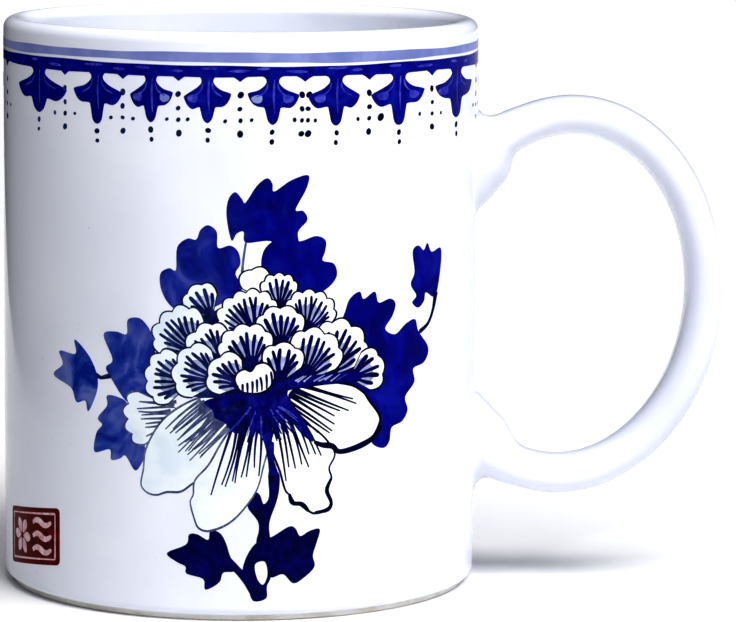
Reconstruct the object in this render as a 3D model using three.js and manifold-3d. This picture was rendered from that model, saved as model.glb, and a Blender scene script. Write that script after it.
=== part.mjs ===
// A straight-sided glazed ceramic mug with an ear-shaped strap handle.
// Millimetres, +Z up. The mug stands on z = 0 and its handle points to +X.
// The origin is under the middle of the whole outline, wall and handle together.
import * as THREE from 'three';
import { mergeVertices } from 'three/addons/utils/BufferGeometryUtils.js';
import Module from 'manifold-3d';

const wasm = await Module();
wasm.setup();

// Driving dimensions of the turned body
const WALL_RADIUS = 41;
const HEIGHT = 98;
const WALL_THICKNESS = 3.8;
const LIP_RADIUS = WALL_THICKNESS / 2;
const FLOOR_TOP = 6;
const INNER_CORNER_RADIUS = 7;
const ROUND_STEPS = 72;

// The underside: a low bare ring close to the wall, round a shallow glazed recess
const FOOT_HEIGHT = 1;
const FOOT_OUTER = 39.6;
const FOOT_INNER = 35.4;
const FOOT_EDGE = 0.4;
const BOTTOM_EDGE_RADIUS = WALL_RADIUS - FOOT_OUTER;
const RECESS_TOP = 2.2;
const RECESS_RADIUS = 1.2;

// The handle's centre line is a slightly leaning ellipse that runs into the wall at both ends
const LOOP_REACH = 15.5;
const LOOP_MIDDLE_Z = 50;
const LOOP_HALF_WIDTH = 24.2;
const LOOP_HALF_HEIGHT = 31.5;
const LOOP_LEAN = 0.035;
const LOOP_START = THREE.MathUtils.degToRad(-140);
const LOOP_END = THREE.MathUtils.degToRad(147);
const LOOP_STEPS = 52;

// The strap's section, and how it widens where it meets the wall
const STRAP_THICKNESS = 6.7;
const STRAP_WIDTH = 12.4;
const STRAP_ROUNDING = 2.6;
const STRAP_ROUNDING_ACROSS = 3.8;
const FLARE_REACH = 8;
const FLARE_OUTSIDE = 1.8;
const FLARE_INSIDE = 3.6;

// The slip that joins the handle to the wall is a thin pad with a gap to each neighbour
const GAP = 0.3;
const SLIP_THICKNESS = 0.7;
const SLIP_HALF_HEIGHT = 9.3;
const SLIP_HALF_WIDTH = 7.4;
const SLIP_Z = { upper: 73.8, lower: 24 };

const HANDLE_TIP = WALL_RADIUS + LOOP_REACH + LOOP_HALF_WIDTH + STRAP_THICKNESS / 2;
const AXIS_X = (WALL_RADIUS - HANDLE_TIP) / 2;

const glaze = { color: 0xf2f3f7, roughness: 0.12, metalness: 0 };
const slip = { color: 0xe9e9ee, roughness: 0.2, metalness: 0 };
const bareClay = { color: 0xd9cfc0, roughness: 0.9, metalness: 0 };

// Points of a circular arc in a turned profile, both ends included; angles in degrees
function arc(centreRadius, centreZ, radius, from, to, steps) {
  const points = [];
  for (let i = 0; i <= steps; i += 1) {
    const angle = THREE.MathUtils.degToRad(from + ((to - from) * i) / steps);
    const x = centreRadius + radius * Math.cos(angle);
    const y = centreZ + radius * Math.sin(angle);
    points.push(new THREE.Vector2(x, y));
  }
  return points;
}

// A profile of (radius, z) points turned about the mug's axis
function turned(points) {
  const geometry = new THREE.LatheGeometry(points, ROUND_STEPS);
  geometry.rotateX(Math.PI / 2);
  return geometry;
}

function tube(inner, outer, bottom, top) {
  const corners = [[inner, bottom], [outer, bottom], [outer, top], [inner, top], [inner, bottom]];
  return turned(corners.map(([radius, z]) => new THREE.Vector2(radius, z)));
}

function toSolid(geometry) {
  const bare = geometry.clone();
  bare.deleteAttribute('normal');
  bare.deleteAttribute('uv');
  const merged = mergeVertices(bare, 1e-4);
  const vertProperties = Float32Array.from(merged.attributes.position.array);
  const triVerts = Uint32Array.from(merged.index.array);
  return new wasm.Manifold(new wasm.Mesh({ numProp: 3, vertProperties, triVerts }));
}

function toGeometry(solid) {
  const mesh = solid.getMesh();
  const geometry = new THREE.BufferGeometry();
  geometry.setAttribute('position', new THREE.BufferAttribute(mesh.vertProperties, 3));
  geometry.setIndex(new THREE.BufferAttribute(mesh.triVerts, 1));
  geometry.computeVertexNormals();
  return geometry;
}

// The wall and floor, from the middle of the underside round the lip to the middle of the inside
function cupBodyGeometry() {
  const lipRing = WALL_RADIUS - LIP_RADIUS;
  const innerRadius = WALL_RADIUS - WALL_THICKNESS;
  const cornerRing = innerRadius - INNER_CORNER_RADIUS;
  const recessRing = FOOT_INNER - RECESS_RADIUS;
  const points = [
    new THREE.Vector2(0, RECESS_TOP),
    ...arc(recessRing, RECESS_TOP - RECESS_RADIUS, RECESS_RADIUS, 90, 0, 3),
    ...arc(FOOT_OUTER, FOOT_HEIGHT + BOTTOM_EDGE_RADIUS, BOTTOM_EDGE_RADIUS, -90, 0, 4),
    ...arc(lipRing, HEIGHT - LIP_RADIUS, LIP_RADIUS, 0, 180, 8),
    ...arc(cornerRing, FLOOR_TOP + INNER_CORNER_RADIUS, INNER_CORNER_RADIUS, 0, -90, 6),
    new THREE.Vector2(0, FLOOR_TOP),
  ];
  return turned(points);
}

// The bare ring that the mug stands on, with its standing edges slightly broken
function footRingGeometry() {
  const corners = [
    [FOOT_INNER, FOOT_HEIGHT],
    [FOOT_INNER, FOOT_EDGE],
    [FOOT_INNER + FOOT_EDGE, 0],
    [FOOT_OUTER - FOOT_EDGE, 0],
    [FOOT_OUTER, FOOT_EDGE],
    [FOOT_OUTER, FOOT_HEIGHT],
    [FOOT_INNER, FOOT_HEIGHT],
  ];
  return turned(corners.map(([radius, z]) => new THREE.Vector2(radius, z)));
}

// Middle of the strap and the direction out of the loop there, in the plane y = 0
function loopAt(angle) {
  const rise = LOOP_HALF_HEIGHT * Math.sin(angle);
  const x = WALL_RADIUS + LOOP_REACH + LOOP_HALF_WIDTH * Math.cos(angle) + LOOP_LEAN * rise;
  const point = new THREE.Vector2(x, LOOP_MIDDLE_Z + rise);
  const alongX = -LOOP_HALF_WIDTH * Math.sin(angle) + LOOP_LEAN * LOOP_HALF_HEIGHT * Math.cos(angle);
  const alongZ = LOOP_HALF_HEIGHT * Math.cos(angle);
  const outward = new THREE.Vector2(alongZ, -alongX).normalize();
  return { point, outward };
}

// Extra thickness at a distance from the wall, fading out smoothly
function flare(amount, distance) {
  const nearness = THREE.MathUtils.clamp(1 - distance / FLARE_REACH, 0, 1);
  return amount * nearness * nearness;
}

// The strap is its side outline extruded across, and its bevel makes the rounded section
function handleGeometry() {
  const core = STRAP_THICKNESS / 2 - STRAP_ROUNDING;
  const outer = [];
  const inner = [];
  for (let i = 0; i <= LOOP_STEPS; i += 1) {
    const { point, outward } = loopAt(LOOP_START + ((LOOP_END - LOOP_START) * i) / LOOP_STEPS);
    const distance = Math.max(0, point.x - WALL_RADIUS);
    outer.push(point.clone().addScaledVector(outward, core + flare(FLARE_OUTSIDE, distance)));
    inner.push(point.clone().addScaledVector(outward, -core - flare(FLARE_INSIDE, distance)));
  }
  const outline = new THREE.Shape([...outer, ...inner.reverse()]);
  const strap = new THREE.ExtrudeGeometry(outline, {
    depth: STRAP_WIDTH - 2 * STRAP_ROUNDING_ACROSS,
    bevelSize: STRAP_ROUNDING,
    bevelThickness: STRAP_ROUNDING_ACROSS,
    bevelSegments: 4,
  });
  strap.rotateX(Math.PI / 2);
  strap.translate(0, STRAP_WIDTH / 2 - STRAP_ROUNDING_ACROSS, 0);
  const rootRadius = WALL_RADIUS + GAP + SLIP_THICKNESS + GAP;
  const bodySpace = turned([
    new THREE.Vector2(0, 0),
    new THREE.Vector2(rootRadius, 0),
    new THREE.Vector2(rootRadius, HEIGHT),
    new THREE.Vector2(0, HEIGHT),
  ]);
  return toGeometry(toSolid(strap).subtract(toSolid(bodySpace)));
}

// An oval pad of slip, curved to the wall
function slipGeometry() {
  const oval = new THREE.Shape();
  oval.absellipse(0, 0, SLIP_HALF_WIDTH, SLIP_HALF_HEIGHT, 0, 2 * Math.PI);
  const plug = new THREE.ExtrudeGeometry(oval, {
    depth: WALL_RADIUS,
    curveSegments: 16,
    bevelEnabled: false,
  });
  plug.rotateX(Math.PI / 2);
  plug.rotateZ(Math.PI / 2);
  plug.translate(WALL_RADIUS / 2, 0, 0);
  const inside = WALL_RADIUS + GAP;
  const shell = tube(inside, inside + SLIP_THICKNESS, -2 * SLIP_HALF_HEIGHT, 2 * SLIP_HALF_HEIGHT);
  return toGeometry(toSolid(plug).intersect(toSolid(shell)));
}

function named(name, geometry, finish) {
  const mesh = new THREE.Mesh(geometry, new THREE.MeshStandardMaterial(finish));
  mesh.name = name;
  return mesh;
}

const mug = new THREE.Group();
mug.position.x = AXIS_X;
mug.add(named('cup_body', cupBodyGeometry(), glaze));
mug.add(named('foot_ring', footRingGeometry(), bareClay));
mug.add(named('handle', handleGeometry(), glaze));
for (const [end, z] of Object.entries(SLIP_Z)) {
  const pad = named(`${end}_slip_joint`, slipGeometry(), slip);
  pad.position.z = z;
  mug.add(pad);
}

export default mug;
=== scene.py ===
# Looks for a straight-sided blue-and-white tea mug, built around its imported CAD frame.
import math
import random

import bpy
import numpy as np
from mathutils import Matrix, Vector, geometry


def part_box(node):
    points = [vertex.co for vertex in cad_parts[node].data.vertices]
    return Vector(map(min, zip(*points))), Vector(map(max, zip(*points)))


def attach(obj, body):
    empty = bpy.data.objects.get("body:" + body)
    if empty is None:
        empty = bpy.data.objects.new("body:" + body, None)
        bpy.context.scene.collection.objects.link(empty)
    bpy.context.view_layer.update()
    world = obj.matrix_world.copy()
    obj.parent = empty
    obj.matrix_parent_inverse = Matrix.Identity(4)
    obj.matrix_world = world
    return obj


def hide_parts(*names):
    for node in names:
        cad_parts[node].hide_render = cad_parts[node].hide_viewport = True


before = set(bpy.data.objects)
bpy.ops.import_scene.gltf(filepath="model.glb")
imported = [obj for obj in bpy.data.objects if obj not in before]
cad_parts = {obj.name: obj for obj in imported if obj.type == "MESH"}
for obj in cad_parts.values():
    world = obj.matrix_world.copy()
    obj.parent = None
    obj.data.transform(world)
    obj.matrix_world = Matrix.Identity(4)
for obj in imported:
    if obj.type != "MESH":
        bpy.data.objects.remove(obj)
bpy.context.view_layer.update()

random.seed(22)
between = random.uniform

# The mug's lengths are millimetres until a point is placed, and MM turns them into metres. The
# studio's lengths are metres.
MM = 0.001

# -------- sizes from the frame
wall_lo, wall_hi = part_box("cup_body")
ring_lo, ring_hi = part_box("foot_ring")
strap_lo, strap_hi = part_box("handle")
AXIS = Vector(((wall_lo.x + wall_hi.x) / 2, (wall_lo.y + wall_hi.y) / 2, 0))
WALL_R = (wall_hi.y - wall_lo.y) / 2 / MM
HEIGHT = wall_hi.z / MM
FOOT_HEIGHT = ring_hi.z / MM
FOOT_R = (ring_hi.y - ring_lo.y) / 2 / MM
STRAP_TIP = (strap_hi.x - AXIS.x) / MM
STRAP_WIDTH = (strap_hi.y - strap_lo.y) / MM
STRAP_TOP = strap_hi.z / MM
STRAP_BOTTOM = strap_lo.z / MM

WALL_THICKNESS = 3.8
FLOOR_TOP = 6
INNER_CORNER = 7
FOOT_WIDTH = 4.2
FOOT_EDGE = 0.45
RECESS_TOP = 2.2
RECESS_CORNER = 1.2
ROUND_STEPS = 320
STRIP_ANGLE = 2 * math.pi / ROUND_STEPS
STRIP = WALL_R * STRIP_ANGLE


# -------- meshes
def put(name, data):
    """A new object in the scene for a mesh, a light or the camera."""
    obj = bpy.data.objects.new(name, data)
    bpy.context.scene.collection.objects.link(obj)
    return obj


def new_piece(name, verts, faces, material, replaced=()):
    """A smooth-shaded mesh piece from points in metres, riding on the mug."""
    mesh = bpy.data.meshes.new(name)
    mesh.from_pydata(verts, [], faces)
    mesh.validate()
    mesh.shade_smooth()
    mesh.set_sharp_from_angle(angle=math.radians(40))
    mesh.materials.append(material)
    piece = put(name, mesh)
    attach(piece, "root")
    if replaced:
        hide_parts(*replaced)
    return piece


def arc(centre_r, centre_z, radius, start, end, steps):
    """Points of an arc in a turned profile, angles in degrees."""
    angles = [math.radians(start + (end - start) * i / steps) for i in range(steps + 1)]
    return [(centre_r + radius * math.cos(a), centre_z + radius * math.sin(a)) for a in angles]


def with_steps(profile, longest, hold=0.25):
    """Adds points along the straight stretches: one close to each end, and then evenly."""
    points = [profile[0]]
    for (r0, z0), (r1, z1) in zip(profile, profile[1:]):
        length = math.hypot(r1 - r0, z1 - z0)
        if length > 4 * hold:
            inner = length - 2 * hold
            count = max(1, round(inner / longest))
            places = [hold + inner * i / count for i in range(count + 1)]
            points += [(r0 + (r1 - r0) * p / length, z0 + (z1 - z0) * p / length) for p in places]
        points.append((r1, z1))
    return points


def turned(name, profile, material, replaced=()):
    """A profile of (radius, z) points turned about the mug's axis. Points on the axis become poles."""
    verts, faces, rows = [], [], []
    for r, z in profile:
        if r < 1e-6:
            rows.append([len(verts)] * ROUND_STEPS)
            verts.append(AXIS + Vector((0, 0, z)) * MM)
            continue
        rows.append(range(len(verts), len(verts) + ROUND_STEPS))
        for i in range(ROUND_STEPS):
            a = STRIP_ANGLE * i
            verts.append(AXIS + Vector((r * math.sin(a), -r * math.cos(a), z)) * MM)
    for low, high in zip(rows, rows[1:]):
        for i in range(ROUND_STEPS):
            j = (i + 1) % ROUND_STEPS
            corners = [low[i], low[j], high[j], high[i]]
            faces.append(list(dict.fromkeys(corners)))
    return new_piece(name, verts, faces, material, replaced)


# -------- materials
def link(tree, source, target):
    tree.links.new(source, target)


def set_numbers(node, **numbers):
    """Sets a node's sockets, which are named with _ for each space."""
    for name, number in numbers.items():
        node.inputs[name.replace("_", " ")].default_value = number
    return node


def new_node(tree, kind, **numbers):
    """A new shader node with some of its sockets set."""
    return set_numbers(tree.nodes.new("ShaderNode" + kind), **numbers)


def shader(name, roughness, ior=1.5, specular=0.5):
    """A new material's node tree and its Principled BSDF."""
    material = bpy.data.materials.new(name)
    material.use_nodes = True
    tree = material.node_tree
    bsdf = tree.nodes["Principled BSDF"]
    set_numbers(bsdf, Roughness=roughness, IOR=ior, Specular_IOR_Level=specular)
    return material, tree, bsdf


def noise_node(tree, scale, detail=3.0, stretch=(1, 1, 1), distortion=0.0):
    """Noise over the object's own coordinates; scale is in repeats for each metre."""
    coordinates = new_node(tree, "TexCoord")
    mapping = new_node(tree, "Mapping", Scale=stretch)
    noise = new_node(tree, "TexNoise", Scale=scale, Detail=detail, Distortion=distortion)
    link(tree, coordinates.outputs["Object"], mapping.inputs["Vector"])
    link(tree, mapping.outputs["Vector"], noise.inputs["Vector"])
    return noise.outputs["Fac"]


def ramp(tree, value, stops):
    """A colour ramp over a value; stops are (position, (r, g, b))."""
    node = new_node(tree, "ValToRGB")
    elements = node.color_ramp.elements
    while len(elements) < len(stops):
        elements.new(0.5)
    for element, (position, colour) in zip(elements, stops):
        element.position = position
        element.color = (*colour, 1)
    link(tree, value, node.inputs["Fac"])
    return node.outputs["Color"]


def number_ramp(tree, value, low, high, start=0.3, end=0.7):
    """Maps a noise value to a range of numbers."""
    node = new_node(tree, "MapRange", From_Min=start, From_Max=end, To_Min=low, To_Max=high)
    link(tree, value, node.inputs["Value"])
    return node.outputs["Result"]


def mixed(tree, factor, first, second, mode="MIX"):
    """Two colours mixed by a factor, which is a number or a value of the tree."""
    node = new_node(tree, "Mix")
    node.data_type = "RGBA"
    node.blend_type = mode
    if isinstance(factor, (int, float)):
        node.inputs[0].default_value = factor
    else:
        link(tree, factor, node.inputs[0])
    link(tree, first, node.inputs[6])
    link(tree, second, node.inputs[7])
    return node.outputs[2]


def bumps(tree, bsdf, layers):
    """Stacks bump layers of (height, strength, distance in metres) into the normal."""
    last = None
    for height, strength, distance in layers:
        node = new_node(tree, "Bump", Strength=strength, Distance=distance)
        link(tree, height, node.inputs["Height"])
        if last:
            link(tree, last, node.inputs["Normal"])
        last = node.outputs["Normal"]
    link(tree, last, bsdf.inputs["Normal"])


def glaze_surface(tree, bsdf, strength=1.0):
    """What every glazed surface shares: slow hollows, a fine orange peel and uneven gloss."""
    slow = noise_node(tree, 75, 2.0, (1, 1, 0.7))
    peel = noise_node(tree, 900, 2.0)
    bumps(tree, bsdf, [(slow, 0.25 * strength, 0.0004), (peel, 0.05 * strength, 0.0001)])
    gloss = noise_node(tree, 120, 4.0)
    link(tree, number_ramp(tree, gloss, 0.07, 0.16), bsdf.inputs["Roughness"])


def make_glaze():
    """White glaze with a faint blue-grey cloudiness and a few tiny pinholes."""
    material, tree, bsdf = shader("white_glaze", 0.1, 1.5, 0.25)
    cloud = ramp(
        tree,
        noise_node(tree, 45, 4.0, distortion=0.6),
        [(0.3, (0.785, 0.805, 0.885)), (0.7, (0.85, 0.865, 0.93))],
    )
    specks = noise_node(tree, 620, 1.0)
    dust = ramp(tree, specks, [(0.17, (0.88, 0.88, 0.90)), (0.22, (1, 1, 1))])
    link(tree, mixed(tree, 1, cloud, dust, "MULTIPLY"), bsdf.inputs["Base Color"])
    glaze_surface(tree, bsdf)
    return material


def across_mug(tree, left, right):
    """A value that goes from 0 at the left distance from the axis to 1 at the right one."""
    coordinates = new_node(tree, "TexCoord")
    split = new_node(tree, "SeparateXYZ")
    link(tree, coordinates.outputs["Object"], split.inputs["Vector"])
    return number_ramp(tree, split.outputs["X"], 0, 1, AXIS.x + left * MM, AXIS.x + right * MM)


def make_paint(name, dark, middle, light, scale=260, thin=None):
    """Painted colour under the glaze: pooled dark patches, brush streaks and thin washed spots.

    Towards the left of the front the thin colours take over. For the leaves, the ink and the mist they are
    the paint's own thinner, greyer wash. For the pale petals they are partly a real tint and partly painted
    light: the petals are whiter on the lit right and tinted on the shaded left."""
    material, tree, bsdf = shader(name, 0.12, 1.3, 0.05)
    pools = noise_node(tree, scale, 3.0, distortion=1.2)
    streaks = noise_node(tree, scale * 4, 4.0, (1, 1, 0.35))
    amount = number_ramp(tree, noise_node(tree, scale * 0.6, 2.0), 0.15, 0.6)
    body = ramp(tree, pools, [(0.34, dark), (0.52, middle), (0.72, light)])
    grain = ramp(tree, streaks, [(0.3, dark), (0.55, middle), (0.78, light)])
    colour = mixed(tree, amount, body, grain)
    if thin:
        washed = ramp(tree, pools, [(0.36, thin[0]), (0.5, thin[1]), (0.66, thin[2])])
        # For the pale petals this left-to-right shift is partly painted light: whiter where the key light
        # falls, tinted where the wall is in shade.
        colour = mixed(tree, across_mug(tree, -24, 4), washed, colour)
    link(tree, colour, bsdf.inputs["Base Color"])
    glaze_surface(tree, bsdf)
    return material


def make_clay():
    """Bare fired clay: rough, sandy and slightly stained where it was wiped."""
    material, tree, bsdf = shader("bare_clay", 0.85)
    stain = ramp(
        tree,
        noise_node(tree, 160, 5.0, distortion=0.8),
        [(0.3, (0.64, 0.60, 0.54)), (0.5, (0.80, 0.78, 0.73)), (0.75, (0.86, 0.85, 0.82))],
    )
    link(tree, stain, bsdf.inputs["Base Color"])
    sand = noise_node(tree, 2600, 4.0)
    link(tree, number_ramp(tree, sand, 0.7, 0.95), bsdf.inputs["Roughness"])
    bumps(tree, bsdf, [(noise_node(tree, 420, 3.0), 0.5, 0.0003), (sand, 0.6, 0.0002)])
    return material


GLAZE = make_glaze()
CLAY = make_clay()
NAVY = ((0.0005, 0.0005, 0.03), (0.001, 0.001, 0.085), (0.002, 0.003, 0.20))
COBALT = ((0.001, 0.001, 0.12), (0.001, 0.001, 0.25), (0.008, 0.018, 0.36))
GREY_BLUE = ((0.004, 0.022, 0.27), (0.03, 0.075, 0.37), (0.15, 0.19, 0.46))
WORN_BLUE = ((0.01, 0.012, 0.30), (0.05, 0.06, 0.44), (0.16, 0.18, 0.60))
POOL_BLUE = ((0.001, 0.001, 0.06), (0.001, 0.001, 0.18), (0.015, 0.018, 0.32))
LINE_BLUE = ((0.19, 0.23, 0.48), (0.25, 0.29, 0.56), (0.36, 0.40, 0.66))
INK = ((0.0005, 0.0005, 0.008), (0.001, 0.001, 0.03), (0.003, 0.003, 0.09))
THIN_INK = ((0.003, 0.012, 0.07), (0.012, 0.035, 0.15), (0.06, 0.09, 0.25))
SOFT_INK = ((0.03, 0.035, 0.11), (0.09, 0.11, 0.22), (0.24, 0.27, 0.39))
MIST = ((0.22, 0.25, 0.48), (0.38, 0.41, 0.62), (0.54, 0.57, 0.74))
THIN_MIST = ((0.16, 0.23, 0.34), (0.29, 0.38, 0.50), (0.46, 0.56, 0.66))
# The petal colour as a lit copy and a shaded copy. The shift between them across the front is partly painted
# light.
PETAL_WHITE_IN_LIGHT = ((0.80, 0.83, 0.88), (0.86, 0.88, 0.91), (0.89, 0.90, 0.92))
PETAL_TINT_IN_SHADE = ((0.66, 0.77, 0.86), (0.76, 0.85, 0.91), (0.84, 0.90, 0.94))
RED = ((0.045, 0.0005, 0.0005), (0.11, 0.001, 0.001), (0.19, 0.004, 0.006))
PINK = ((0.50, 0.20, 0.23), (0.78, 0.54, 0.57), (0.90, 0.78, 0.80))
PAINTS = {
    "cobalt": make_paint("cobalt_wash", *COBALT, scale=230),
    "wash": make_paint("cobalt_worn", *WORN_BLUE, scale=420),
    "deep": make_paint("cobalt_deep", *NAVY),
    "leaf": make_paint("cobalt_leaf", *COBALT, scale=150, thin=GREY_BLUE),
    "pool": make_paint("cobalt_pool", *POOL_BLUE, scale=420),
    "shade": make_paint("petal_shade", *NAVY, scale=420, thin=THIN_INK),
    "mist": make_paint("petal_mist", *MIST, scale=420, thin=THIN_MIST),
    "ink": make_paint("ink_line", *INK, scale=500, thin=THIN_INK),
    "soft": make_paint("ink_thin", *SOFT_INK, scale=400),
    "line": make_paint("washed_line", *LINE_BLUE, scale=90),
    "petal": make_paint("petal_wash", *PETAL_WHITE_IN_LIGHT, scale=120, thin=PETAL_TINT_IN_SHADE),
    "red": make_paint("red_enamel", *RED, scale=300),
    "pink": make_paint("red_wiped", *PINK, scale=500),
}

# -------- the clay body
LIP = WALL_THICKNESS / 2
INNER_R = WALL_R - WALL_THICKNESS
FOOT_INNER = FOOT_R - FOOT_WIDTH
BOTTOM_EDGE = WALL_R - FOOT_R


def make_body():
    """Wall, lip and floor in one turned shell, with the lip fully rounded."""
    profile = [(0, RECESS_TOP)]
    profile += arc(FOOT_INNER - RECESS_CORNER, RECESS_TOP - RECESS_CORNER, RECESS_CORNER, 90, 0, 6)
    profile += arc(FOOT_R, FOOT_HEIGHT + BOTTOM_EDGE, BOTTOM_EDGE, -90, 0, 10)
    profile += arc(WALL_R - LIP, HEIGHT - LIP, LIP, 0, 180, 24)
    profile += arc(INNER_R - INNER_CORNER, FLOOR_TOP + INNER_CORNER, INNER_CORNER, 0, -90, 16)
    profile += [(0, FLOOR_TOP)]
    turned("mug_body", with_steps(profile, 2.5), GLAZE, ["cup_body"])


def make_foot():
    """The bare ring, its two standing edges worn round."""
    profile = [(FOOT_INNER, FOOT_HEIGHT)]
    profile += arc(FOOT_INNER + FOOT_EDGE, FOOT_EDGE, FOOT_EDGE, 180, 270, 5)
    profile += arc(FOOT_R - FOOT_EDGE, FOOT_EDGE, FOOT_EDGE, -90, 0, 5)
    profile += [(FOOT_R, FOOT_HEIGHT), (FOOT_INNER, FOOT_HEIGHT)]
    turned("foot_ring_clay", with_steps(profile, 1.0, 0.1), CLAY, ["foot_ring"])


# -------- the handle
STRAP_THICKNESS = 6.7
LOOP_HALF_HEIGHT = (STRAP_TOP - STRAP_BOTTOM - STRAP_THICKNESS) / 2
LOOP_MIDDLE_Z = (STRAP_TOP + STRAP_BOTTOM) / 2
LOOP_HALF_WIDTH = 24.2
LOOP_MIDDLE_X = STRAP_TIP - STRAP_THICKNESS / 2 - LOOP_HALF_WIDTH
LOOP_LEAN = 0.035
LOOP_START = math.radians(-131.5)
LOOP_END = math.radians(139)
LOOP_STEPS = 200
SECTION_STEPS = 56
SECTION_ROUNDING = 0.86

# How much the strap swells by near the wall, and from how far away
OUTSIDE_SWELL = 1.5
INSIDE_SWELL = 2.5
SIDEWAYS_SWELL = 1.1
OUTSIDE_REACH = 9.5
INSIDE_FROM = 3.2
INSIDE_TO_UPPER = 7.2
INSIDE_TO_LOWER = 9.5
SIDEWAYS_REACH = 12


def loop_at(angle):
    """Middle of the strap and the direction out of the loop there, as (x from the axis, z)."""
    rise = LOOP_HALF_HEIGHT * math.sin(angle)
    x = LOOP_MIDDLE_X + LOOP_HALF_WIDTH * math.cos(angle) + LOOP_LEAN * rise
    along_x = -LOOP_HALF_WIDTH * math.sin(angle) + LOOP_LEAN * LOOP_HALF_HEIGHT * math.cos(angle)
    along_z = LOOP_HALF_HEIGHT * math.cos(angle)
    return Vector((x, LOOP_MIDDLE_Z + rise)), Vector((along_z, -along_x)).normalized()


def eased(value, low, high):
    """0 below low and 1 above high, with a smooth step between them."""
    part = min(1, max(0, (value - low) / (high - low)))
    return part * part * (3 - 2 * part)


def outer_half(middle, outward):
    """The strap's half thickness outside the loop, which grows as that side nears the wall."""
    plain = STRAP_THICKNESS / 2
    gap = middle.x + outward.x * plain - WALL_R
    return plain + OUTSIDE_SWELL * max(0, 1 - max(0, gap) / OUTSIDE_REACH) ** 2


def inner_half(middle, outward, upper):
    """The same inside the loop, where the strap swells more and, at its upper end, nearer the wall."""
    plain = STRAP_THICKNESS / 2
    gap = middle.x - outward.x * plain - WALL_R
    return plain + INSIDE_SWELL * (1 - eased(gap, INSIDE_FROM, INSIDE_TO_UPPER if upper else INSIDE_TO_LOWER))


def strap_ring(angle):
    """One rounded section of the strap, swollen towards the wall, most of all inside the loop."""
    middle, outward = loop_at(angle)
    outer = outer_half(middle, outward)
    inner = inner_half(middle, outward, angle > 0)
    across = STRAP_WIDTH / 2 + SIDEWAYS_SWELL * (1 - eased(middle.x - WALL_R, 0, SIDEWAYS_REACH))
    ring = []
    for i in range(SECTION_STEPS):
        turn = 2 * math.pi * i / SECTION_STEPS
        c, s = math.cos(turn), math.sin(turn)
        u = math.copysign(abs(c) ** SECTION_ROUNDING, c)
        v = math.copysign(abs(s) ** SECTION_ROUNDING, s)
        x, z = middle + outward * u * (outer if u > 0 else inner)
        ring.append(Vector((x, v * across, z)))
    return ring


def place(point):
    """A point in millimetres from the mug's axis, in metres in the frame."""
    return AXIS + Vector(point) * MM


def buried(ring, towards, closing):
    """Keeps a section out of the mug's inside. The closing section turns at 45 degrees into the wall."""
    deepest = WALL_R - WALL_THICKNESS * 0.6
    for p in ring:
        x = math.sqrt(deepest**2 - p.y**2)
        if closing:
            p.z += towards * max(0, p.x - x)
        if closing or p.x < x:
            p.x = x
    return ring


def strap_rings():
    """Every section of the strap, from inside the wall at the bottom to inside the wall at the top."""
    angles = [LOOP_START + (LOOP_END - LOOP_START) * i / LOOP_STEPS for i in range(LOOP_STEPS + 1)]
    rings = [buried(strap_ring(LOOP_START), 1, True)]
    rings += [buried(strap_ring(a), 0, False) for a in angles]
    rings.append(buried(strap_ring(LOOP_END), -1, True))
    return rings


def make_handle(rings):
    """The strap as one closed skin round its sections."""
    verts = [place(p) for ring in rings for p in ring]
    faces = []
    for row in range(len(rings) - 1):
        here, there = row * SECTION_STEPS, (row + 1) * SECTION_STEPS
        for i in range(SECTION_STEPS):
            j = (i + 1) % SECTION_STEPS
            faces.append([here + i, there + i, there + j, here + j])
    faces.append(list(range(SECTION_STEPS)))
    faces.append(list(range(len(verts) - 1, len(verts) - SECTION_STEPS - 1, -1)))
    new_piece("handle_strap", verts, faces, GLAZE, ["handle"])


def leaving(line, distance):
    """Where a lengthwise line of the strap comes out of the wall, and the point a given way along it."""
    corner, walked = None, 0
    for near, far in zip(line, line[1:]):
        a, b = math.hypot(near.x, near.y), math.hypot(far.x, far.y)
        if corner is None:
            if not a <= WALL_R < b:
                continue
            near = near.lerp(far, (WALL_R - a) / (b - a))
            corner = near
        step = (far - near).length
        if walked + step >= distance:
            return corner, near.lerp(far, (distance - walked) / step)
        walked += step


def make_fillet(name, rings, node):
    """The slip pressed into the corner between strap and wall: a hollow ring that fades into both."""
    steps = 10
    verts = []
    sizes, corners, ends = [], [], []
    for i in range(SECTION_STEPS):
        turn = 2 * math.pi * i / SECTION_STEPS
        outer_side = (1 + math.cos(turn)) / 2
        sizes.append(1.0 + 3.7 * outer_side**1.3 + 0.12 * math.sin(5 * turn + 1))
        corner, end = leaving([ring[i] for ring in rings], sizes[-1])
        corners.append(corner)
        ends.append(end)
    middle_z = (min(c.z for c in corners) + max(c.z for c in corners)) / 2
    for size, corner, on_strap in zip(sizes, corners, ends):
        normal = Vector((corner.x, corner.y, 0)).normalized()
        outward = Vector((0, corner.y, (corner.z - middle_z) * 0.7))
        outward = (outward - normal * outward.dot(normal)).normalized()
        low_end = corner + outward * size
        low_end = Vector((*(low_end.xy.normalized() * WALL_R), low_end.z))
        for k in range(steps + 1):
            t = k / steps
            verts.append(on_strap * (1 - t) ** 2 + corner * 2 * t * (1 - t) + low_end * t * t)
        verts.append(low_end - normal * 0.4)
        verts.append(corner - normal * 0.5 - outward * 0.5)
        verts.append(on_strap - outward * 0.5)
    count = steps + 4
    faces = []
    for i in range(SECTION_STEPS):
        j = (i + 1) % SECTION_STEPS
        for k in range(count):
            m = (k + 1) % count
            faces.append([i * count + k, i * count + m, j * count + m, j * count + k])
    new_piece(name, [place(v) for v in verts], faces, GLAZE, [node])


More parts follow.
